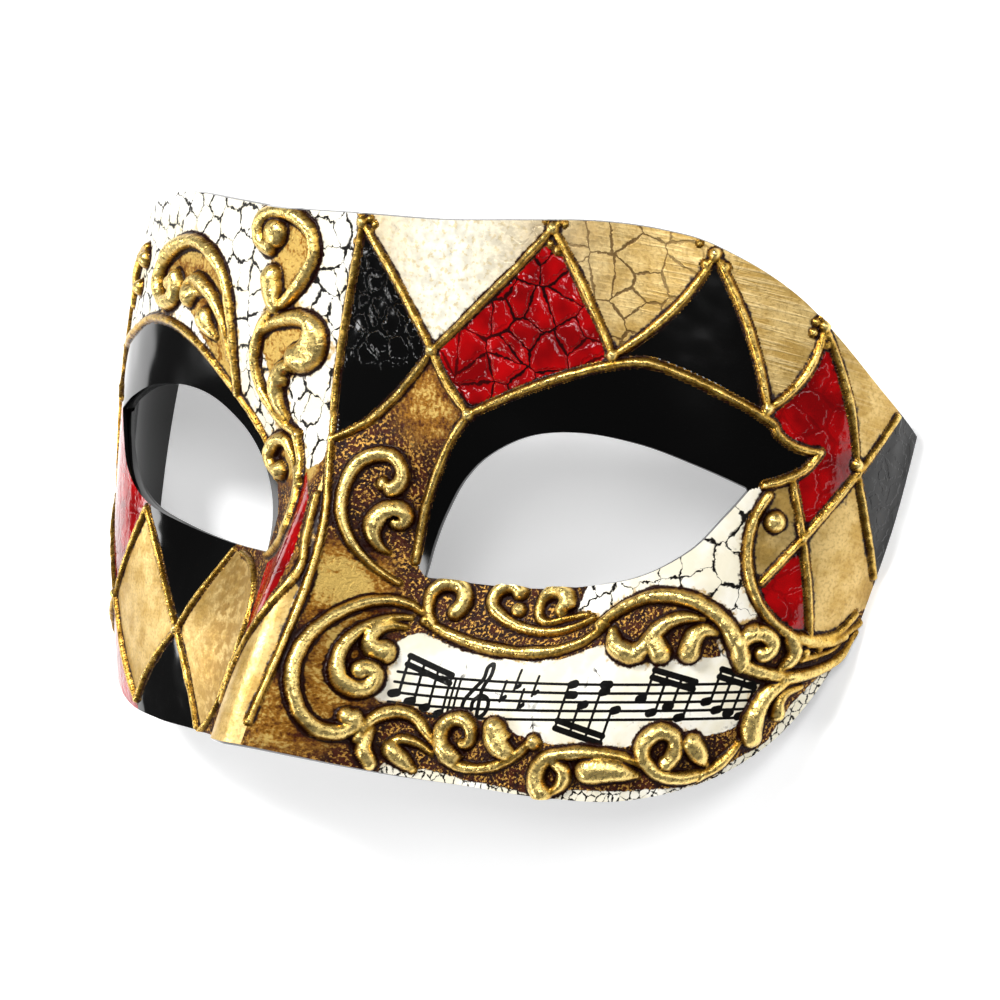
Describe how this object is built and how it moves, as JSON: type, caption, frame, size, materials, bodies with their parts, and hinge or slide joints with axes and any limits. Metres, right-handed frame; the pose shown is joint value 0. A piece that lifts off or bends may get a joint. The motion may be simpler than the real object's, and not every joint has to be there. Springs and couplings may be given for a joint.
{
  "type": "venetian half mask",
  "caption": "Half mask with a nose and open eyes, of papier-mache with piped gilded scrolls and a harlequin lattice of cords.",
  "frame": {"origin": "middle of the mask's width and height, on the flat plane of the temples' rear edges, which it lies on", "axes": "+X to the wearer's left, +Y to the forehead, +Z out of the face, upwards as the mask lies on its back"},
  "size_m": [0.1749, 0.1006, 0.0604],
  "materials": {
    "painted_papier_mache": "painted, gilded, crackled and varnished"
  },
  "bodies": {
    "root": {"mask": "painted_papier_mache"}
  },
  "joints": []
}
